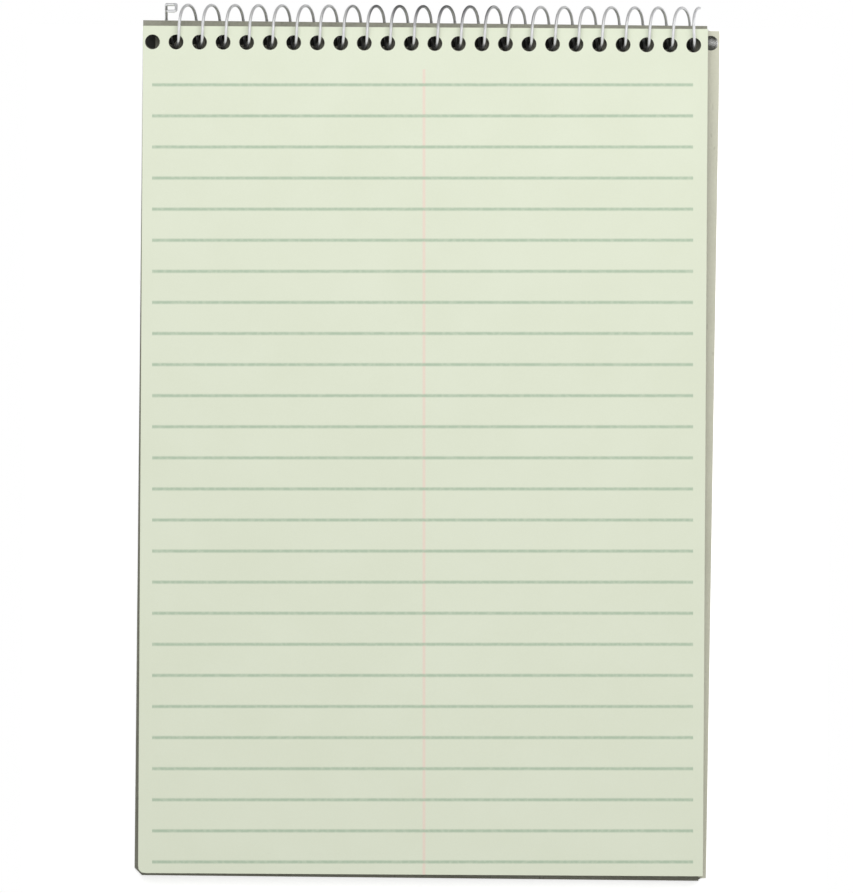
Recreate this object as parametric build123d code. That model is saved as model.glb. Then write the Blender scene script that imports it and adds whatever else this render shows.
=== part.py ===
from build123d import *
import os
from math import asin, cos, degrees, pi, sin, sqrt

# Steno pad, photographed from above: a block of ruled sheets and its backing board on a single spiral
# wire, with the front cover turned right round and lying underneath.
# +X runs along the wire, +Y points up the page to the wire, +Z points out of the page.
# The origin is on the table, under the middle of the top sheet. All lengths are millimetres.

# Sheets, board and cover
SHEET_WIDTH = 152.4
SHEET_HEIGHT = 228.6
SHEET_COUNT = 80
SHEET_THICKNESS = 0.09
BOARD_THICKNESS = 0.9
COVER_THICKNESS = 0.35
PAGE_GAP = 0.02
COVER_GAP = 0.06
BUMPED_CORNER = 2.0

# Row of punched holes, measured on the sheets
HOLE_COUNT = 24
HOLE_PITCH = 6.35
HOLE_DIAMETER = 4.0
HOLE_SIDES = 28
HOLES_FROM_TOP = 4.3
HOLES_FROM_LEFT = 2.55

# Board: a little longer than the sheets at both ends, and a little crooked on the wire
BOARD_HOLES_FROM_LEFT = 2.75
BOARD_EXTRA = 1.2
BOARD_SHIFT = (0.1, 0.1)
BOARD_SKEW = -0.25

# Cover: punched face down, and folded back, so it has stepped along the spiral and hangs crooked
COVER_HOLES_FROM_TOP = 3.3
COVER_HOLES_FROM_RIGHT = 2.35
COVER_STEP = 4.7
COVER_SKEW = -0.35
COVER_STRIP = 9.0
COVER_STRIP_GAP = 0.3
COVER_RISE = 24.0
COVER_BEND_RADIUS = 150.0

# Spiral wire: the coil's axis is measured from the row of holes and from the back of the board
WIRE_DIAMETER = 0.8
WIRE_SIDES = 6
COIL_RADIUS = 5.7
COIL_BEYOND_HOLES = 4.35
COIL_ABOVE_BOARD = 4.2
LOOP_BOW = 0.75
STEPS_PER_TURN = 20
STEPS_PER_BEND = 4

# Crimped start of the wire, measured back from the second hole, the first that it passes through
CRIMP_LEG = 2.75
CRIMP_LEG_TURNS = 0.3
CRIMP_BAR_END = 0.0
CRIMP_TIP = 2.6
CRIMP_TURNS = 0.13
CRIMP_BEND_RADIUS = 0.7

# Cut end of the wire: turns past the last hole, and its step along the row
END_TURNS = 0.52
END_STEP = 1.5

ROW_LENGTH = (HOLE_COUNT - 1) * HOLE_PITCH
PAGES_THICKNESS = SHEET_COUNT * SHEET_THICKNESS
TURN_LENGTH = 2 * pi * COIL_RADIUS
COIL_OUTER_RADIUS = COIL_RADIUS + WIRE_DIAMETER / 2

# The pad rests on its coil and, through the cover, on its foot, so board and sheets lean back a little.
FOOT_HEIGHT = COVER_THICKNESS + COVER_GAP
FOOT_TO_HOLES = SHEET_HEIGHT - HOLES_FROM_TOP
LEAN = asin((COIL_OUTER_RADIUS - FOOT_HEIGHT - COIL_ABOVE_BOARD) / (FOOT_TO_HOLES + COIL_BEYOND_HOLES))

# The stack's own frame: the middle of the row of holes, on the back of the board.
ROW_MIDDLE_X = HOLES_FROM_LEFT + ROW_LENGTH / 2 - SHEET_WIDTH / 2
ROW_MIDDLE_Y = SHEET_HEIGHT / 2 - HOLES_FROM_TOP
ROW_HEIGHT = FOOT_HEIGHT + FOOT_TO_HOLES * sin(LEAN)
STACK = Pos(ROW_MIDDLE_X, ROW_MIDDLE_Y, ROW_HEIGHT) * Rot(degrees(LEAN), 0, 0)


def row_of_holes(depth):
    """Cutters for the punched holes, in a row on the X axis, with few enough sides for a light mesh."""
    cutter = extrude(RegularPolygon(HOLE_DIAMETER / 2, HOLE_SIDES), depth / 2, both=True)
    return [place * cutter for place in GridLocations(HOLE_PITCH, 0, HOLE_COUNT, 1)]


def punched_sheet(thickness, holes_from_left, extra):
    """A flat sheet with a bumped corner, longer by extra at both ends; the middle of its row of holes is the
    origin, on its back."""
    left = -ROW_LENGTH / 2 - holes_from_left
    right = left + SHEET_WIDTH
    top = HOLES_FROM_TOP + extra
    foot = HOLES_FROM_TOP - SHEET_HEIGHT - extra
    outline = Polyline(
        (left, top),
        (left, foot + BUMPED_CORNER),
        (left + BUMPED_CORNER, foot),
        (right, foot),
        (right, top),
        close=True,
    )
    return extrude(make_face(outline), thickness) - row_of_holes(4 * thickness)


def make_page_block():
    height = BOARD_THICKNESS + PAGE_GAP
    return STACK * Pos(0, 0, height) * punched_sheet(PAGES_THICKNESS, HOLES_FROM_LEFT, 0)


def make_back_board():
    board = punched_sheet(BOARD_THICKNESS, BOARD_HOLES_FROM_LEFT, BOARD_EXTRA)
    return STACK * Pos(*BOARD_SHIFT, 0) * Rot(0, 0, BOARD_SKEW) * board


def make_front_cover():
    """A bent card: flat on the table, then rising to a strip that lies along the back of the board."""
    depth = COIL_ABOVE_BOARD + COVER_STRIP_GAP + COVER_THICKNESS / 2
    holes_y = COIL_BEYOND_HOLES - sqrt(COIL_RADIUS**2 - depth**2)
    top = holes_y + COVER_HOLES_FROM_TOP
    strip_z = ROW_HEIGHT - (COVER_STRIP_GAP + COVER_THICKNESS) * cos(LEAN)
    underside = FilletPolyline(
        (top - SHEET_HEIGHT, 0),
        (holes_y - COVER_STRIP - COVER_RISE, 0),
        (holes_y - COVER_STRIP, strip_z + (holes_y - COVER_STRIP) * sin(LEAN)),
        (top, strip_z + top * sin(LEAN)),
        radius=COVER_BEND_RADIUS,
    )
    section = make_face(offset(underside, COVER_THICKNESS, side=Side.LEFT))
    right = ROW_LENGTH / 2 + COVER_HOLES_FROM_RIGHT
    card = extrude(Plane(origin=(right, 0, 0), x_dir=(0, 1, 0), z_dir=(1, 0, 0)) * section, -SHEET_WIDTH)
    card -= [Pos(0, holes_y, strip_z) * cutter for cutter in row_of_holes(6 * COVER_THICKNESS)]
    turn = Pos(0, holes_y, 0) * Rot(0, 0, COVER_SKEW) * Pos(0, -holes_y, 0)
    return Pos(ROW_MIDDLE_X + COVER_STEP, ROW_MIDDLE_Y, 0) * turn * card


def wire_path():
    """The wire drawn flat: X along the row, Y the length rolled round the coil, counted from the first hole.
    Each edge comes with the bow of its loops."""

    def flat(hole, along, turns):
        return (hole * HOLE_PITCH - ROW_LENGTH / 2 + along, (hole + turns) * TURN_LENGTH)

    first = 1
    last = HOLE_COUNT - 1
    apex = -0.5
    tip = apex - CRIMP_TURNS
    crimp = FilletPolyline(
        flat(first, -CRIMP_TIP, tip),
        flat(first, -CRIMP_BAR_END, tip),
        flat(first, -CRIMP_BAR_END, apex),
        flat(first, -CRIMP_LEG, apex),
        flat(first, -CRIMP_LEG, -CRIMP_LEG_TURNS),
        flat(first, 0, 0),
        radius=CRIMP_BEND_RADIUS,
    )
    coil = Line(flat(first, 0, 0), flat(last, 0, 0))
    cut_end = Line(flat(last, 0, 0), flat(last, END_STEP, END_TURNS))
    return [(edge, 0) for edge in crimp.edges()] + [(coil, LOOP_BOW), (cut_end, LOOP_BOW)]


def wire_section(point, direction, bow):
    """The wire's section at one point of the flat path, rolled onto the coil; loops bow out at the top."""
    angle = point.Y / COIL_RADIUS
    outward = Vector(0, -cos(angle), sin(angle))
    around = Vector(0, sin(angle), cos(angle))
    x = point.X - bow * (sin(angle) - sin(2 * angle) / 2)
    x_slope = direction.X - direction.Y * bow * (cos(angle) - cos(2 * angle)) / COIL_RADIUS
    centre = Vector(x, COIL_BEYOND_HOLES, COIL_ABOVE_BOARD) + outward * COIL_RADIUS
    along_wire = Vector(x_slope, 0, 0) + around * direction.Y
    section = RegularPolygon(WIRE_DIAMETER / 2, WIRE_SIDES)
    return Plane(origin=centre, x_dir=outward, z_dir=along_wire) * section


def make_spiral_wire():
    sections = []
    for edge, bow in wire_path():
        steps = STEPS_PER_BEND
        if edge.geom_type == GeomType.LINE:
            steps = max(1, round(edge.length / TURN_LENGTH * STEPS_PER_TURN))
        first_step = 1 if sections else 0
        for step in range(first_step, steps + 1):
            sections.append(wire_section(edge @ (step / steps), edge % (step / steps), bow))
    return STACK * loft(sections, ruled=True)


parts = {
    "page_block": make_page_block(),
    "back_board": make_back_board(),
    "front_cover": make_front_cover(),
    "spiral_wire": make_spiral_wire(),
}
os.makedirs("parts", exist_ok=True)
for name, solid in parts.items():
    export_step(solid, f"parts/{name}.step")

coil_axis = (STACK * Pos(0, COIL_BEYOND_HOLES, COIL_ABOVE_BOARD)).position
print("coil axis through", coil_axis, "lean in degrees", round(degrees(LEAN), 4))
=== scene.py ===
# %% [markdown]
# # A steno pad, dressed over its CAD frame
# The pad lies open on a white table: ruled green sheets and a backing board hang on one spiral wire, and
# the front cover is turned right round underneath. The CAD model gives the sizes and the moving parts.
# This lesson remakes the pieces whose look needs more than a plain solid, and gives every piece its finish.

# %% Load the frame
import random
from math import asin, cos, hypot, radians, sin

import bpy
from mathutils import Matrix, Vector


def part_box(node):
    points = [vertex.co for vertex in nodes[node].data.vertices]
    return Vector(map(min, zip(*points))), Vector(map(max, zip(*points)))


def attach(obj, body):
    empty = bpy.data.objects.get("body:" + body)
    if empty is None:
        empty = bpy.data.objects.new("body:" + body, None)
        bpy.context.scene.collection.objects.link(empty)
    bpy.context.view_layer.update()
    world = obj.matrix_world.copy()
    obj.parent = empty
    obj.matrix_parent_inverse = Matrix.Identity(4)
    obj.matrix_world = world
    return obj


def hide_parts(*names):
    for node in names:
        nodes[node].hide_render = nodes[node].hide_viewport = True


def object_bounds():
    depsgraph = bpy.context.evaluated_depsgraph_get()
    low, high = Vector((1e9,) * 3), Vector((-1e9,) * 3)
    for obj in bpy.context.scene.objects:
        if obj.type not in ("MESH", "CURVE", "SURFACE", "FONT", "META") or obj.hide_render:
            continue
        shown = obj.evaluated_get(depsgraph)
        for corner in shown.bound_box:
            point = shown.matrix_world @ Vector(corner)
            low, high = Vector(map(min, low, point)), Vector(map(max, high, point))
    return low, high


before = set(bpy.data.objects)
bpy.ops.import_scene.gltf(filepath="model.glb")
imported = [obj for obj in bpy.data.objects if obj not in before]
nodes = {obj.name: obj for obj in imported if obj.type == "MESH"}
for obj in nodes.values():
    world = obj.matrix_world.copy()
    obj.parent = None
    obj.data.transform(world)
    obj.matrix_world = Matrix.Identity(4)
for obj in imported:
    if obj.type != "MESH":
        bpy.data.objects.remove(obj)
cad_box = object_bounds()
MM = 0.001
print("CAD nodes:", sorted(nodes))

# %% [markdown]
# ## Where the stack lies
# Sheets and board rest on the wire at one end and on the table at the other, so they lean back by a
# fraction of a degree. Modelling on a slope is awkward. Each piece is modelled flat instead, with its foot
# at y = 0 and its back at z = 0, and then tipped onto the stack. The angle follows from the page block's
# box, which is a little taller than the paper is thick.

# %% Sizes of the stack
SHEET_COUNT = 80
SHEET_THICKNESS = 0.09 * MM
pages_thickness = SHEET_COUNT * SHEET_THICKNESS
page_low, page_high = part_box("page_block")
page_size = page_high - page_low
lean = asin((page_size.z - pages_thickness) / page_size.y)
sheet_width = page_size.x
sheet_height = (page_size.y - pages_thickness * sin(lean)) / cos(lean)
stack_foot = Vector((0, page_low.y + pages_thickness * sin(lean), page_low.z))
print(f"sheet {sheet_width / MM:.1f} x {sheet_height / MM:.1f} mm, lean {lean:.5f} rad")

# %% [markdown]
# ## Select, then act
# An operator acts on all that is selected, just as it does by hand, and the loaded frame starts out selected
# as a whole. So every step first selects one piece, or the vertices of it that pass a test on their place.
# A finished piece keeps its place in its mesh, as the CAD nodes do, and its object sits at the origin.


# %% Helpers to select and to place
def select_only(piece):
    """Makes this piece the only selected one, and the active one."""
    bpy.ops.object.select_all(action="DESELECT")
    piece.select_set(True)
    bpy.context.view_layer.objects.active = piece


def apply_place(piece):
    """Moves a piece's place into its mesh, so that the object sits unturned at the origin."""
    select_only(piece)
    bpy.ops.object.transform_apply(location=True, rotation=True, scale=True)


def tip_onto_stack(piece, origin):
    """Tips a piece that was modelled flat, and moves its origin to a point of the leaning stack."""
    piece.rotation_euler = (lean, 0, 0)
    piece.location = origin
    apply_place(piece)


def select_vertices(piece, is_wanted):
    """In edit mode, selects the vertices whose place passes the test."""
    bpy.ops.mesh.select_all(action="DESELECT")
    bpy.ops.object.mode_set(mode="OBJECT")
    for vertex in piece.data.vertices:
        vertex.select = is_wanted(vertex.co)
    bpy.ops.object.mode_set(mode="EDIT")


def apply_modifier(piece, modifier):
    """Applies one modifier to the mesh."""
    select_only(piece)
    bpy.ops.object.modifier_apply(modifier=modifier.name)


# %% [markdown]
# ## Blank sheet
# Every sheet has the same outline: a rectangle whose lower left corner was bumped in use. A plane is added
# at the sheet's size, and a vertex bevel blunts the one corner.

# %% Blank sheet
BUMPED_CORNER = 2.0 * MM
CORNER_SEGMENTS = 3
CORNER_PROFILE = 0.6


def add_blank_sheet(name):
    """A flat sheet outline in the plane z = 0, with its foot at y = 0."""
    bpy.ops.object.select_all(action="DESELECT")
    bpy.ops.mesh.primitive_plane_add(size=1, location=(0, sheet_height / 2, 0))
    sheet = bpy.context.object
    sheet.name = name
    sheet.scale = (sheet_width, sheet_height, 1)
    apply_place(sheet)
    bpy.ops.object.mode_set(mode="EDIT")
    bpy.ops.mesh.select_mode(type="VERT")
    select_vertices(sheet, lambda place: place.x < 0 and place.y < sheet_height / 2)
    bpy.ops.mesh.bevel(
        offset=BUMPED_CORNER, segments=CORNER_SEGMENTS, profile=CORNER_PROFILE, affect="VERTICES"
    )
    bpy.ops.mesh.select_all(action="SELECT")
    bpy.ops.object.mode_set(mode="OBJECT")
    return sheet


# %% [markdown]
# ## Punched holes
# The wire runs through a row of 24 round holes near the top edge. One cylinder stands for the punch. An
# Array modifier repeats it along the row, and a Boolean takes the whole row out of a sheet in one cut, so
# that all sheets are punched alike.

# %% Punched holes
HOLE_COUNT = 24
HOLE_PITCH = 6.35 * MM
HOLE_DIAMETER = 4.0 * MM
HOLES_FROM_TOP = 4.3 * MM
HOLES_FROM_LEFT = 2.55 * MM
HOLE_SIDES = 40
punch_length = 4 * pages_thickness
first_hole_x = page_low.x + HOLES_FROM_LEFT
holes_y = sheet_height - HOLES_FROM_TOP
print(f"{HOLE_COUNT} holes from x = {first_hole_x / MM:.2f} mm, {holes_y / MM:.1f} mm above the foot")


def punch_holes(sheet):
    """Takes the row of holes out of a sheet or of a block of sheets."""
    bpy.ops.object.select_all(action="DESELECT")
    bpy.ops.mesh.primitive_cylinder_add(
        vertices=HOLE_SIDES,
        radius=HOLE_DIAMETER / 2,
        depth=punch_length,
        location=(first_hole_x, holes_y, 0),
    )
    punch = bpy.context.object
    row = punch.modifiers.new("row", "ARRAY")
    row.count = HOLE_COUNT
    row.use_relative_offset = False
    row.use_constant_offset = True
    row.constant_offset_displace = (HOLE_PITCH, 0, 0)
    apply_modifier(punch, row)
    cut = sheet.modifiers.new("holes", "BOOLEAN")
    cut.operation = "DIFFERENCE"
    cut.solver = "EXACT"
    cut.object = punch
    apply_modifier(sheet, cut)
    bpy.data.objects.remove(punch)


# %% [markdown]
# ## Top sheet
# The sheet that is being written on is a piece of its own, because it carries the print and because its
# foot lifts a little from the sheets below. The outline is extruded to the paper's thickness, cut across
# with Bisect so that it can bend, and its foot is raised with proportional editing, which fades out up the
# page. The holes come last.

# %% Top sheet
LIFT = 0.6 * MM
LIFT_REACH = 70 * MM
BEND_COUNT = 14
CREASE_ANGLE = radians(30)
top_sheet = add_blank_sheet("top_sheet")
bpy.ops.object.mode_set(mode="EDIT")
bpy.ops.mesh.extrude_region_move(TRANSFORM_OT_translate={"value": (0, 0, SHEET_THICKNESS)})
for bend in range(1, BEND_COUNT + 1):
    bpy.ops.mesh.select_all(action="SELECT")
    bpy.ops.mesh.bisect(plane_co=(0, bend * LIFT_REACH / BEND_COUNT, 0), plane_no=(0, 1, 0))
select_vertices(top_sheet, lambda place: place.y < 0.5 * BUMPED_CORNER)
bpy.ops.transform.translate(
    value=(0, 0, LIFT),
    use_proportional_edit=True,
    proportional_edit_falloff="SMOOTH",
    proportional_size=LIFT_REACH,
)
bpy.ops.mesh.select_all(action="SELECT")
bpy.ops.mesh.normals_make_consistent(inside=False)
bpy.ops.object.mode_set(mode="OBJECT")
foot_rise = max(vertex.co.z for vertex in top_sheet.data.vertices) - SHEET_THICKNESS
punch_holes(top_sheet)
top_sheet.location.z = pages_thickness - SHEET_THICKNESS
apply_place(top_sheet)
tip_onto_stack(top_sheet, stack_foot)
bpy.ops.object.shade_smooth_by_angle(angle=CREASE_ANGLE)
print(f"top sheet: {len(top_sheet.data.polygons)} faces, foot lifted by {foot_rise / MM:.2f} mm")

# %% [markdown]
# ## Sheets below
# The other sheets show only their edges. No pad is jogged quite square, so its sides are finely ridged and
# its lowest sheets peep out at the foot. The block grows by extruding: up for the edge of a pair of
# sheets, then a hair further up with a small sideways slip for the next pair.

# %% Sheets below
SHEETS_PER_LAYER = 2
SLIP = 0.06 * MM
SLIP_SEED = 7
FOOT_SLOPE = 0.15 * MM
LAYER_EDGE = 0.8
AIR_UNDER_TOP_SHEET = 0.01 * MM
layer_count = (SHEET_COUNT - SHEETS_PER_LAYER) // SHEETS_PER_LAYER
layer_height = (pages_thickness - SHEET_THICKNESS - AIR_UNDER_TOP_SHEET) / layer_count
slips = random.Random(SLIP_SEED)
lower_sheets = add_blank_sheet("lower_sheets")
lower_sheets.location.y = -FOOT_SLOPE
apply_place(lower_sheets)
bpy.ops.object.mode_set(mode="EDIT")
slip_so_far = Vector((0, 0, 0))
for layer in range(layer_count):
    bpy.ops.mesh.extrude_region_move(
        TRANSFORM_OT_translate={"value": (0, 0, LAYER_EDGE * layer_height)}
    )
    slip = Vector((slips.uniform(-SLIP, SLIP), slips.uniform(-SLIP, SLIP), 0))
    step = slip - slip_so_far + Vector((0, FOOT_SLOPE / layer_count, (1 - LAYER_EDGE) * layer_height))
    slip_so_far = slip
    bpy.ops.mesh.extrude_region_move(TRANSFORM_OT_translate={"value": step})
bpy.ops.mesh.select_all(action="SELECT")
bpy.ops.mesh.normals_make_consistent(inside=False)
bpy.ops.object.mode_set(mode="OBJECT")
punch_holes(lower_sheets)
tip_onto_stack(lower_sheets, stack_foot)
print("lower sheets faces:", len(lower_sheets.data.polygons))

# %% [markdown]
# ## Spiral wire
# One length of steel wire is wound through every hole but the first, and its start is bent back on itself
# so that the spiral can't wind out of the holes. The CAD wire has the right path but only six sides. A copy
# of it is merged into one skin, its triangles are joined back into quads and a Subdivision Surface rounds
# it. That draws the skin in, so Shrink/Fatten gives the wire its thickness back. It draws the whole coil in
# too, and a resize about the coil's middle brings it back to its full depth.

# %% Helpers to copy a node and to measure it
WELD = 0.002 * MM


def copy_of_node(name, node_name):
    """A copy of a CAD node with a mesh of its own, merged into one skin and left in edit mode."""
    piece = bpy.data.objects.new(name, nodes[node_name].data.copy())
    bpy.context.collection.objects.link(piece)
    select_only(piece)
    bpy.ops.object.mode_set(mode="EDIT")
    bpy.ops.mesh.select_all(action="SELECT")
    bpy.ops.mesh.remove_doubles(threshold=WELD)
    return piece


def depth_of(piece):
    """How far a piece reaches from its lowest to its highest vertex."""
    heights = [vertex.co.z for vertex in piece.data.vertices]
    return max(heights) - min(heights)


# %% Spiral wire
WIRE_RADIUS = 0.4 * MM
WIRE_SIDES = 6
QUAD_BEND = radians(60)
QUAD_SKEW = radians(80)
ROUNDING_LEVELS = 2
# Rounding moves each corner of a ring to two thirds of its own place plus a third of its neighbours' middle.
rounded_radius = WIRE_RADIUS * (2 + cos(radians(360 / WIRE_SIDES))) / 3
wire = copy_of_node("round_wire", "spiral_wire")
bpy.ops.mesh.tris_convert_to_quads(face_threshold=QUAD_BEND, shape_threshold=QUAD_SKEW)
bpy.ops.object.mode_set(mode="OBJECT")
rounding = wire.modifiers.new("rounding", "SUBSURF")
rounding.levels = ROUNDING_LEVELS
rounding.render_levels = ROUNDING_LEVELS
apply_modifier(wire, rounding)
bpy.ops.object.mode_set(mode="EDIT")
bpy.ops.mesh.select_all(action="SELECT")
bpy.ops.transform.shrink_fatten(value=WIRE_RADIUS - rounded_radius)
bpy.ops.object.mode_set(mode="OBJECT")
wire_low, wire_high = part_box("spiral_wire")
rounded_depth = depth_of(wire)
regain = (wire_high.z - wire_low.z) / rounded_depth
bpy.ops.object.mode_set(mode="EDIT")
bpy.ops.transform.resize(value=(1, regain, regain), center_override=(wire_low + wire_high) / 2)
bpy.ops.object.mode_set(mode="OBJECT")
bpy.ops.object.shade_smooth()
print(f"wire: {len(wire.data.polygons)} faces, coil {rounded_depth / MM:.2f} mm deep when rounded")
print(f"resized to {depth_of(wire) / MM:.2f} mm, CAD coil {(wire_high.z - wire_low.z) / MM:.2f} mm")

# %% [markdown]
# ## Cover
# The front cover is a sheet of card that was turned right round, and now it lies under the pad. Card gives a
# little, so below the strip that the wire holds it has swung aside, and it shows at the right as a strip that
# narrows towards the foot. A copy of the CAD cover is merged, all of it below the strip is selected, and
# that is turned about the middle of the strip's lower edge.

# %% Cover
STRIP_DEPTH = 16 * MM
SIDE_SWING = radians(0.25)
cover_low, cover_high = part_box("front_cover")
strip_y = cover_high.y - STRIP_DEPTH
cover = copy_of_node("turned_cover", "front_cover")
select_vertices(cover, lambda place: place.y < strip_y)
bpy.ops.transform.rotate(
    value=SIDE_SWING,
    orient_axis="Z",
    center_override=((cover_low.x + cover_high.x) / 2, strip_y, cover_low.z),
)
bpy.ops.object.mode_set(mode="OBJECT")
foot_shift = min(vertex.co.x for vertex in cover.data.vertices) - cover_low.x
print(f"cover: {len(cover.data.polygons)} faces, its foot swung by {foot_shift / MM:.2f} mm along the row")

# %% [markdown]
# ## Materials, and what they share
# Paper, board and card are all pressed from fibres. What they share is a slightly cloudy tone and a felt-like
# surface, so that effect is one node group with named inputs. Each material places it with its own
# scale. Small helpers keep the node code short.


# %% Helpers for nodes
def add_node(tree, kind, **settings):
    """Adds a node and sets its properties."""
    node = tree.nodes.new(kind)
    for name, value in settings.items():
        setattr(node, name, value)
    return node


def feed(tree, socket, value):
    """Links an output to an input socket, or sets the socket's own value."""
    if isinstance(value, bpy.types.NodeSocket):
        tree.links.new(value, socket)
    else:
        socket.default_value = value


def calculate(tree, operation, *values):
    """One Math node; returns its output."""
    node = add_node(tree, "ShaderNodeMath", operation=operation)
    for socket, value in zip(node.inputs, values):
        feed(tree, socket, value)
    return node.outputs[0]


def ramp(tree, value, start, end, low=0.0, high=1.0):
    """Maps a value smoothly from one range to another; returns the output."""
    node = add_node(tree, "ShaderNodeMapRange", interpolation_type="SMOOTHSTEP")
    settings = {"Value": value, "From Min": start, "From Max": end, "To Min": low, "To Max": high}
    for name, setting in settings.items():
        feed(tree, node.inputs[name], setting)
    return node.outputs["Result"]


def mix_colours(tree, share, first, second):
    """Mixes two colours; returns the output. Of the Mix node's sockets, 6 and 7 take colours."""
    node = add_node(tree, "ShaderNodeMix", data_type="RGBA")
    feed(tree, node.inputs[0], share)
    feed(tree, node.inputs[6], first)
    feed(tree, node.inputs[7], second)
    return node.outputs[2]


# %% Helpers for patterns and colours
def noise(tree, place, scale, detail=4.0):
    """A Noise texture; returns its value."""
    node = add_node(tree, "ShaderNodeTexNoise")
    feed(tree, node.inputs["Vector"], place)
    feed(tree, node.inputs["Scale"], scale)
    feed(tree, node.inputs["Detail"], detail)
    return node.outputs["Fac"]


def colour(red, green, blue):
    """A colour as a picture gives it, 0 to 255, made linear for the shader."""
    parts = [part / 255 for part in (red, green, blue)]
    linear = [p / 12.92 if p <= 0.04045 else ((p + 0.055) / 1.055) ** 2.4 for p in parts]
    return (*linear, 1.0)


def new_material(name):
    """An empty material; returns it with its node tree and its Principled shader."""
    material = bpy.data.materials.new(name)
    material.use_nodes = True
    return material, material.node_tree, material.node_tree.nodes["Principled BSDF"]


def object_place(tree, turn=(0, 0, 0), scale=(1, 1, 1)):
    """Object coordinates, turned or stretched where a pattern needs it; returns the output."""
    coordinates = add_node(tree, "ShaderNodeTexCoord")
    mapping = add_node(tree, "ShaderNodeMapping")
    mapping.inputs["Rotation"].default_value = turn
    mapping.inputs["Scale"].default_value = scale
    tree.links.new(coordinates.outputs["Object"], mapping.inputs["Vector"])
    return mapping.outputs["Vector"]


# %% [markdown]
# ## Fibres
# Seen close, pressed fibre has two scales: soft clouds where the pulp lay thicker, and a fine felt on the
# surface. Two Noise textures give both. The group puts out a tone that goes into the colour and a height
# that goes into a Bump node.

# %% Fibre group
CLOUD_SHARE = 0.6
FELT_DETAIL = 6.0
FELT_STRENGTH = 0.4
fibres = bpy.data.node_groups.new("pressed fibres", "ShaderNodeTree")
fibres.interface.new_socket("Place", in_out="INPUT", socket_type="NodeSocketVector")
fibres.interface.new_socket("Cloud scale", in_out="INPUT", socket_type="NodeSocketFloat")
fibres.interface.new_socket("Felt scale", in_out="INPUT", socket_type="NodeSocketFloat")
fibres.interface.new_socket("Tone", in_out="OUTPUT", socket_type="NodeSocketFloat")
fibres.interface.new_socket("Height", in_out="OUTPUT", socket_type="NodeSocketFloat")
group_in = add_node(fibres, "NodeGroupInput")
group_out = add_node(fibres, "NodeGroupOutput")
clouds = noise(fibres, group_in.outputs["Place"], group_in.outputs["Cloud scale"])
felt = noise(fibres, group_in.outputs["Place"], group_in.outputs["Felt scale"], FELT_DETAIL)
felt_part = calculate(fibres, "MULTIPLY", felt, 1 - CLOUD_SHARE)
tone = calculate(fibres, "MULTIPLY_ADD", clouds, CLOUD_SHARE, felt_part)
fibres.links.new(tone, group_out.inputs["Tone"])
fibres.links.new(felt, group_out.inputs["Height"])
print("fibre group sockets:", [item.name for item in fibres.interface.items_tree])


def add_fibres(tree, shader, place, cloud_scale, felt_scale, bump_distance):
    """Places the fibre group, bumps the shader with it and returns its tone."""
    group = add_node(tree, "ShaderNodeGroup", node_tree=fibres)
    feed(tree, group.inputs["Place"], place)
    feed(tree, group.inputs["Cloud scale"], cloud_scale)
    feed(tree, group.inputs["Felt scale"], felt_scale)
    bump = add_node(tree, "ShaderNodeBump")
    feed(tree, bump.inputs["Strength"], FELT_STRENGTH)
    feed(tree, bump.inputs["Distance"], bump_distance)
    feed(tree, bump.inputs["Height"], group.outputs["Height"])
    feed(tree, shader.inputs["Normal"], bump.outputs["Normal"])
    return group.outputs["Tone"]


# %% [markdown]
# ## Ruled paper
# Steno paper is pale green, with green rules across and one faint red line down the middle that divides it
# into two columns. The print is worked out from the place on the sheet, so it stays sharp at any size: the
# distance to the nearest rule is what remains when the height is divided by the rule spacing. The print sits
# a fraction of a degree crooked on the sheet, as it often does after cutting.

# %% Rules and centre line
RULE_COUNT = 26
RULE_PITCH = 8.389 * MM
TOP_RULE_Y = 98.8 * MM
RULE_WIDTH = 0.8 * MM
RULE_LEFT_X = -73.1 * MM
RULE_RIGHT_X = 72.9 * MM
CENTRE_LINE_X = 0.27 * MM
CENTRE_LINE_WIDTH = 0.7 * MM
INK_EDGE = 0.28 * MM
PRINT_TURN = radians(0.34)


def line_mask(tree, distance, width):
    """1 on a printed line and 0 beside it, with a soft edge."""
    return ramp(tree, distance, width / 2 - INK_EDGE, width / 2 + INK_EDGE, 1.0, 0.0)


def between(tree, value, low, high):
    """1 between two limits and 0 outside."""
    above = calculate(tree, "GREATER_THAN", value, low)
    below = calculate(tree, "LESS_THAN", value, high)
    return calculate(tree, "MULTIPLY", above, below)


def split_axes(tree, place):
    """The X and the Y of a place, as two outputs."""
    axes = add_node(tree, "ShaderNodeSeparateXYZ")
    tree.links.new(place, axes.inputs[0])
    return axes.outputs["X"], axes.outputs["Y"]


ruled_paper, tree, shader = new_material("ruled paper")
place = object_place(tree, turn=(0, 0, -PRINT_TURN))
x, y = split_axes(tree, place)
rule_number = calculate(tree, "DIVIDE", calculate(tree, "SUBTRACT", TOP_RULE_Y, y), RULE_PITCH)
off_rule = calculate(tree, "SUBTRACT", rule_number, calculate(tree, "ROUND", rule_number))
rule_distance = calculate(tree, "MULTIPLY", calculate(tree, "ABSOLUTE", off_rule), RULE_PITCH)
rules = line_mask(tree, rule_distance, RULE_WIDTH)
in_rows = between(tree, rule_number, -0.5, RULE_COUNT - 0.5)
in_columns = between(tree, x, RULE_LEFT_X, RULE_RIGHT_X)
rules = calculate(tree, "MULTIPLY", rules, calculate(tree, "MULTIPLY", in_rows, in_columns))
centre_distance = calculate(tree, "ABSOLUTE", calculate(tree, "SUBTRACT", x, CENTRE_LINE_X))
centre_line = calculate(tree, "MULTIPLY", line_mask(tree, centre_distance, CENTRE_LINE_WIDTH), in_rows)
print(f"{RULE_COUNT} rules, {RULE_PITCH / MM:.3f} mm apart, from y = {TOP_RULE_Y / MM:.1f} mm down")

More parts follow.
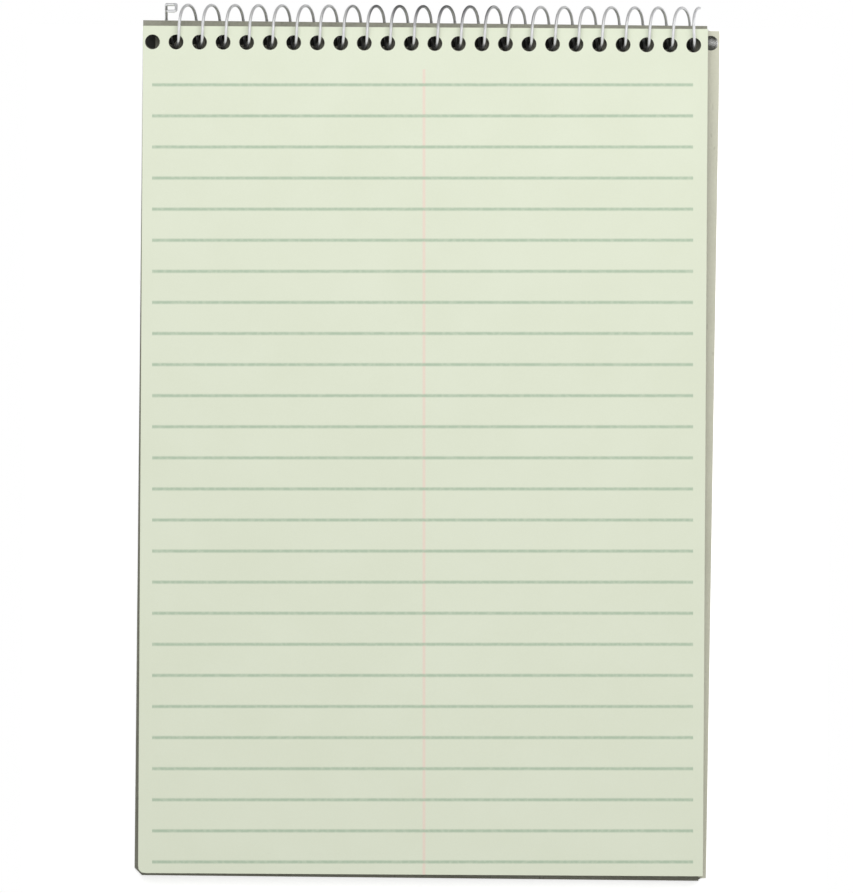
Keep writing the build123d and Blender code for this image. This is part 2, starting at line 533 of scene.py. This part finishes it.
# %% Paper and ink
PAPER = colour(227, 233, 212)
PAPER_SHADE = colour(224, 230, 208)
RULE_INK = colour(180, 198, 174)
CENTRE_INK = colour(236, 219, 204)
WORN_INK = 0.75
ink_left = ramp(tree, noise(tree, place, 900.0, 2.0), 0.3, 0.6, WORN_INK, 1.0)
rules = calculate(tree, "MULTIPLY", rules, ink_left)
tone = add_fibres(tree, shader, place, cloud_scale=60.0, felt_scale=2500.0, bump_distance=0.02 * MM)
paper_colour = mix_colours(tree, ramp(tree, tone, 0.3, 0.7), PAPER_SHADE, PAPER)
paper_colour = mix_colours(tree, centre_line, paper_colour, CENTRE_INK)
paper_colour = mix_colours(tree, rules, paper_colour, RULE_INK)
feed(tree, shader.inputs["Base Color"], paper_colour)
feed(tree, shader.inputs["Roughness"], 0.75)
feed(tree, shader.inputs["Specular IOR Level"], 0.25)
top_sheet.data.materials.append(ruled_paper)
print("ruled paper:", len(tree.nodes), "nodes")

# %% [markdown]
# ## Paper edges
# The cut edges of a stack are a little darker than its face, with fine streaks along the sheets. A Noise
# texture that is stretched along the sheets and squeezed across them draws the streaks.

# %% Paper edges
EDGE_LIGHT = colour(224, 229, 208)
EDGE_DARK = colour(186, 193, 172)
STREAKS_ALONG = 30.0
STREAKS_ACROSS = 1 / SHEET_THICKNESS / 2
paper_edges, tree, shader = new_material("paper edges")
place = object_place(tree)
streak_place = object_place(tree, (-lean, 0, 0), (STREAKS_ALONG, STREAKS_ALONG, STREAKS_ACROSS))
streaks = noise(tree, streak_place, 1.0, 2.0)
tone = add_fibres(tree, shader, place, cloud_scale=80.0, felt_scale=2500.0, bump_distance=0.02 * MM)
edge_colour = mix_colours(tree, ramp(tree, streaks, 0.3, 0.6), EDGE_DARK, EDGE_LIGHT)
edge_colour = mix_colours(tree, ramp(tree, tone, 0.25, 0.45, 0.4, 0.0), edge_colour, EDGE_DARK)
feed(tree, shader.inputs["Base Color"], edge_colour)
feed(tree, shader.inputs["Roughness"], 0.85)
feed(tree, shader.inputs["Specular IOR Level"], 0.2)
lower_sheets.data.materials.append(paper_edges)
print(f"streaks: {STREAKS_ACROSS * MM:.1f} per mm of height")

# %% [markdown]
# ## Painted shade in the holes
# From above, the holes of a thick pad look nearly black. That shade is painted here: the walls of the holes
# get a near-black colour of their own, and they are rougher than the cut sides of the stack. The faces that
# lie within the hole's radius and a hair more of the nearest hole's middle are given the second material
# slot.

# %% Painted shade in the holes
# Both colours are painted shade for the walls of the holes. The tone between them varies at random with the
# fibres.
HOLE_SHADE_LIGHT = colour(92, 95, 84)
HOLE_SHADE_DARK = colour(56, 58, 50)
WALL_REACH = HOLE_DIAMETER / 2 + 0.1 * MM
painted_hole_shade, tree, shader = new_material("painted hole shade")
place = object_place(tree)
tone = add_fibres(tree, shader, place, cloud_scale=700.0, felt_scale=2500.0, bump_distance=0.03 * MM)
wall_shade_colour = mix_colours(tree, ramp(tree, tone, 0.3, 0.7), HOLE_SHADE_DARK, HOLE_SHADE_LIGHT)
feed(tree, shader.inputs["Base Color"], wall_shade_colour)
feed(tree, shader.inputs["Roughness"], 0.95)
feed(tree, shader.inputs["Specular IOR Level"], 0.1)
lower_sheets.data.materials.append(painted_hole_shade)
row_y = stack_foot.y + holes_y * cos(lean) - pages_thickness / 2 * sin(lean)
wall_count = 0
for face in lower_sheets.data.polygons:
    nearest_hole = round((face.center.x - first_hole_x) / HOLE_PITCH)
    from_hole = hypot(face.center.x - first_hole_x - nearest_hole * HOLE_PITCH, face.center.y - row_y)
    if from_hole < WALL_REACH:
        face.material_index = 1
        wall_count += 1
print("faces on the walls of the holes:", wall_count)

# %% [markdown]
# ## Board and cover
# The backing board is grey chipboard, pressed from waste paper: cloudy, rough and full of short dark flecks.
# The cover is a thinner, smoother card of a paler grey. Both start from the same recipe, a fibre tone with
# flecks from a stretched Noise texture, so one function makes them.

# %% Board and cover
FLECK_STRETCH = (1.0, 0.25, 1.0)
ROUGHNESS_SPREAD = 0.06


def make_card(name, light, dark, fleck, fleck_share, bump_distance, roughness):
    """A fibrous card with flecks."""
    material, tree, shader = new_material(name)
    place = object_place(tree)
    tone = add_fibres(tree, shader, place, cloud_scale=45.0, felt_scale=1400.0, bump_distance=bump_distance)
    base = mix_colours(tree, ramp(tree, tone, 0.3, 0.7), dark, light)
    fleck_noise = noise(tree, object_place(tree, scale=FLECK_STRETCH), 1100.0, 3.0)
    flecks = ramp(tree, fleck_noise, 0.66, 0.74, 0.0, fleck_share)
    feed(tree, shader.inputs["Base Color"], mix_colours(tree, flecks, base, fleck))
    smoothest, roughest = roughness - ROUGHNESS_SPREAD, roughness + ROUGHNESS_SPREAD
    feed(tree, shader.inputs["Roughness"], ramp(tree, tone, 0.2, 0.8, smoothest, roughest))
    feed(tree, shader.inputs["Specular IOR Level"], 0.3)
    return material


chipboard = make_card(
    "chipboard",
    light=colour(150, 149, 139),
    dark=colour(132, 131, 121),
    fleck=colour(96, 94, 86),
    fleck_share=0.6,
    bump_distance=0.08 * MM,
    roughness=0.85,
)
cover_card = make_card(
    "cover card",
    light=colour(214, 213, 197),
    dark=colour(205, 204, 187),
    fleck=colour(174, 173, 156),
    fleck_share=0.4,
    bump_distance=0.03 * MM,
    roughness=0.6,
)
for piece, finish in ((nodes["back_board"], chipboard), (cover, cover_card)):
    piece.data.materials.clear()
    piece.data.materials.append(finish)
    print(piece.name, "is finished as", finish.name)

# %% [markdown]
# ## Wire finish
# The wire is drawn steel with a bright zinc finish. Drawing leaves fine scratches along the wire and the
# zinc is slightly cloudy, so the roughness and the tone vary a little.

# %% Wire finish
STEEL = colour(206, 203, 206)
STEEL_DULL = colour(168, 164, 168)
SMOOTHEST = 0.2
ROUGHEST = 0.34
steel, tree, shader = new_material("drawn steel")
place = object_place(tree)
clouds = ramp(tree, noise(tree, place, 700.0, 4.0), 0.35, 0.65)
scratches = noise(tree, place, 2600.0, 3.0)
feed(tree, shader.inputs["Base Color"], mix_colours(tree, clouds, STEEL_DULL, STEEL))
feed(tree, shader.inputs["Metallic"], 1.0)
feed(tree, shader.inputs["Roughness"], ramp(tree, scratches, 0.3, 0.7, SMOOTHEST, ROUGHEST))
wire.data.materials.append(steel)
print("wire roughness from", SMOOTHEST, "to", ROUGHEST)

# %% [markdown]
# ## Bodies
# Every new piece rides on a body of the frame, so that it moves with it, and stands for the CAD node that
# it shows better. The cover is the moving body. The board's CAD node is shown as it is.

# %% Bodies
for piece, body, node_name, slot_name in (
    (top_sheet, "pad", "page_block", "ruled_paper"),
    (lower_sheets, "pad", "page_block", "ruled_paper"),
    (wire, "pad", "spiral_wire", "binding_wire"),
    (cover, "cover", "front_cover", "cover_card"),
):
    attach(piece, body)
    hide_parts(node_name)
    print(piece.name, "rides on", body, "and stands for", node_name)

# %% [markdown]
# ## Table
# The pad is shown on a white ground. The floor's own colour is white, and for camera rays and for
# reflections it also glows a little, so that it reaches pure white while the pad still leaves its shadow.
# Under the pad, where Ambient Occlusion finds it shut in, the floor's colour is painted dark as shade and it
# stops glowing, and so the holes look deep. The turned cover opens downwards, away from the board. So for the
# camera the floor is only a patch, from the top edge of the sheets to a little past the other edges, and
# beyond it the cover can be seen to hang. From below the camera looks through the patch too, and the shorter
# a ray's way to the floor is, the more of it passes, so that light reaches the underside of the cover, which
# lies on the floor.


# %% Floor
def seen_or_mirrored(tree):
    """1 for rays from the camera and for reflections and refractions, 0 for the rays that light the pad."""
    rays = add_node(tree, "ShaderNodeLightPath").outputs
    seen = calculate(tree, "MAXIMUM", rays["Is Camera Ray"], rays["Is Glossy Ray"])
    return calculate(tree, "MAXIMUM", seen, rays["Is Transmission Ray"])


FLOOR_SIZE = 6.0
FLOOR_DROP = 0.05 * MM
FLOOR_GLOW = 0.6
SHADE_REACH = 10 * MM
SHADE_SAMPLES = 48
SHUT_IN = 0.44
OPEN = 0.5
OPEN_FLOOR = colour(240, 240, 240)
# Painted shade: the floor's colour where it lies shut in under the pad.
PAINTED_SHADE_UNDER_PAD = colour(84, 84, 80)
bpy.ops.object.select_all(action="DESELECT")
bpy.ops.mesh.primitive_plane_add(size=FLOOR_SIZE, location=(0, 0, cad_box[0].z - FLOOR_DROP))
floor = bpy.context.object
floor.name = "floor"
white_ground, tree, shader = new_material("white ground")
openness = add_node(tree, "ShaderNodeAmbientOcclusion")
openness.samples = SHADE_SAMPLES
openness.inputs["Distance"].default_value = SHADE_REACH
# Where Ambient Occlusion finds the floor shut in, its colour turns to the painted shade and its glow fades
# out.
in_the_open = ramp(tree, openness.outputs["AO"], SHUT_IN, OPEN)
feed(tree, shader.inputs["Base Color"], mix_colours(tree, in_the_open, PAINTED_SHADE_UNDER_PAD, OPEN_FLOOR))
feed(tree, shader.inputs["Roughness"], 0.9)
seen = seen_or_mirrored(tree)
glow = calculate(tree, "MULTIPLY", calculate(tree, "MULTIPLY", seen, in_the_open), FLOOR_GLOW)
feed(tree, shader.inputs["Emission Color"], (1, 1, 1, 1))
feed(tree, shader.inputs["Emission Strength"], glow)
print(f"floor at z = {floor.location.z / MM:.2f} mm")

# %% Patch of floor that the camera sees
PATCH_MARGIN = 30 * MM
UNDERSIDE_GAP = 1.5 * MM
x, y = split_axes(tree, object_place(tree))
in_width = between(tree, x, cad_box[0].x - PATCH_MARGIN, cad_box[1].x + PATCH_MARGIN)
in_height = between(tree, y, cad_box[0].y - PATCH_MARGIN, page_high.y)
on_patch = calculate(tree, "MULTIPLY", in_width, in_height)
rays = add_node(tree, "ShaderNodeLightPath").outputs
from_below = add_node(tree, "ShaderNodeNewGeometry").outputs["Backfacing"]
off_patch = calculate(tree, "MAXIMUM", calculate(tree, "SUBTRACT", 1.0, on_patch), from_below)
seen_through = calculate(tree, "MULTIPLY", rays["Is Camera Ray"], off_patch)
from_underside = ramp(tree, rays["Ray Length"], 0.0, UNDERSIDE_GAP, 1.0, 0.0)
mixed = add_node(tree, "ShaderNodeMixShader")
feed(tree, mixed.inputs["Fac"], calculate(tree, "MAXIMUM", seen_through, from_underside))
tree.links.new(shader.outputs["BSDF"], mixed.inputs[1])
tree.links.new(add_node(tree, "ShaderNodeBsdfTransparent").outputs["BSDF"], mixed.inputs[2])
tree.links.new(mixed.outputs["Shader"], tree.nodes["Material Output"].inputs["Surface"])
floor.data.materials.append(white_ground)
print("floor patch reaches", PATCH_MARGIN / MM, "mm past the pad")

# %% [markdown]
# ## Card behind the wire
# Bright wire shows what it reflects, and between a white ground and a white sky it would vanish. A folded
# card stands behind the loops, as in a studio: pale grey, and black behind the middle loops. Its first panel
# lies on the floor, and its back edge is extruded up and then forwards over the loops. It is seen in
# reflections only and throws no shadow.

# %% Card behind the wire
CARD_START = 2.5 * MM
CARD_REACH = 15 * MM
CARD_HEIGHT = 24 * MM
CARD_WIDTH = 176 * MM
CARD_LIFT = 0.1 * MM
coil_y = (wire_low.y + wire_high.y) / 2
card_y = coil_y + (CARD_START + CARD_REACH) / 2
bpy.ops.object.select_all(action="DESELECT")
bpy.ops.mesh.primitive_plane_add(size=1, location=(0, card_y, cad_box[0].z + CARD_LIFT))
card = bpy.context.object
card.name = "reflected_card"
card.scale = (CARD_WIDTH, CARD_REACH - CARD_START, 1)
apply_place(card)
bpy.ops.object.mode_set(mode="EDIT")
select_vertices(card, lambda place: place.y > card_y)
bpy.ops.mesh.extrude_region_move(TRANSFORM_OT_translate={"value": (0, 0, CARD_HEIGHT)})
bpy.ops.mesh.extrude_region_move(TRANSFORM_OT_translate={"value": (0, -CARD_REACH, 0)})
bpy.ops.object.mode_set(mode="OBJECT")
card.visible_camera = False
card.visible_diffuse = False
card.visible_transmission = False
card.visible_shadow = False
print("card behind the wire:", len(card.data.polygons), "panels")

# %% Card's colours
CARD_GREY = colour(222, 222, 222)
CARD_BLACK = colour(10, 9, 10)
BLACK_FROM_X = -13 * MM
BLACK_TO_X = 24 * MM
BLACK_EDGE = 3 * MM
grey_card, tree, shader = new_material("grey card")
x, y = split_axes(tree, object_place(tree))
right_of_start = ramp(tree, x, BLACK_FROM_X - BLACK_EDGE, BLACK_FROM_X + BLACK_EDGE)
left_of_end = ramp(tree, x, BLACK_TO_X - BLACK_EDGE, BLACK_TO_X + BLACK_EDGE, 1.0, 0.0)
blackness = calculate(tree, "MULTIPLY", right_of_start, left_of_end)
feed(tree, shader.inputs["Base Color"], mix_colours(tree, blackness, CARD_GREY, CARD_BLACK))
feed(tree, shader.inputs["Roughness"], 0.9)
card.data.materials.append(grey_card)
print(f"card is black for {(BLACK_TO_X - BLACK_FROM_X) / MM:.0f} mm behind the middle loops")

# %% [markdown]
# ## Light
# The sky gives an even light from all sides, and in reflections it is plain white. One broad soft lamp above
# the wire adds to it, so that the page is brighter at the top than at the foot.

# %% World and lamp
WORLD_LIGHT = 0.4
LAMP_SIZE = 0.9
LAMP_PLACE = (0.1, 0.44, 0.72)
LAMP_POWER = 6.35
world = bpy.data.worlds.new("studio")
bpy.context.scene.world = world
world.use_nodes = True
background = world.node_tree.nodes["Background"]
background.inputs["Color"].default_value = (1, 1, 1, 1)
sky_strength = calculate(
    world.node_tree, "MULTIPLY_ADD", seen_or_mirrored(world.node_tree), 1 - WORLD_LIGHT, WORLD_LIGHT
)
feed(world.node_tree, background.inputs["Strength"], sky_strength)
bpy.ops.object.light_add(type="AREA", location=LAMP_PLACE)
lamp = bpy.context.object
lamp.name = "soft lamp"
lamp.data.size = LAMP_SIZE
lamp.data.energy = LAMP_POWER
lamp.rotation_euler = (Vector((0, 0, 0)) - lamp.location).to_track_quat("-Z", "Y").to_euler()
print(f"lamp of {LAMP_POWER} W, {lamp.location.length:.2f} m from the pad")

# %% [markdown]
# ## Camera
# The pad was photographed from straight above and from some way off. A long lens keeps the sides of the
# stack out of sight, and the camera is turned by the fraction of a degree at which the pad lies crooked.

# %% Camera
LENS = 900.0
SENSOR = 36.0
VIEW_HEIGHT = 241.0 * MM
CAMERA_X = 0.94 * MM
CAMERA_Y = 1.2 * MM
CAMERA_ROLL = radians(0.34)
CLIP_END = 20.0
sheet_z = (page_low.z + page_high.z + pages_thickness) / 2
camera_height = VIEW_HEIGHT * LENS / SENSOR
bpy.ops.object.camera_add(
    location=(CAMERA_X, CAMERA_Y, sheet_z + camera_height), rotation=(0, 0, CAMERA_ROLL)
)
camera = bpy.context.object
camera.data.lens = LENS
camera.data.sensor_width = SENSOR
camera.data.clip_end = CLIP_END
bpy.context.scene.camera = camera
bpy.context.scene.view_settings.view_transform = "Standard"
print(f"camera {camera_height:.2f} m above the sheet")
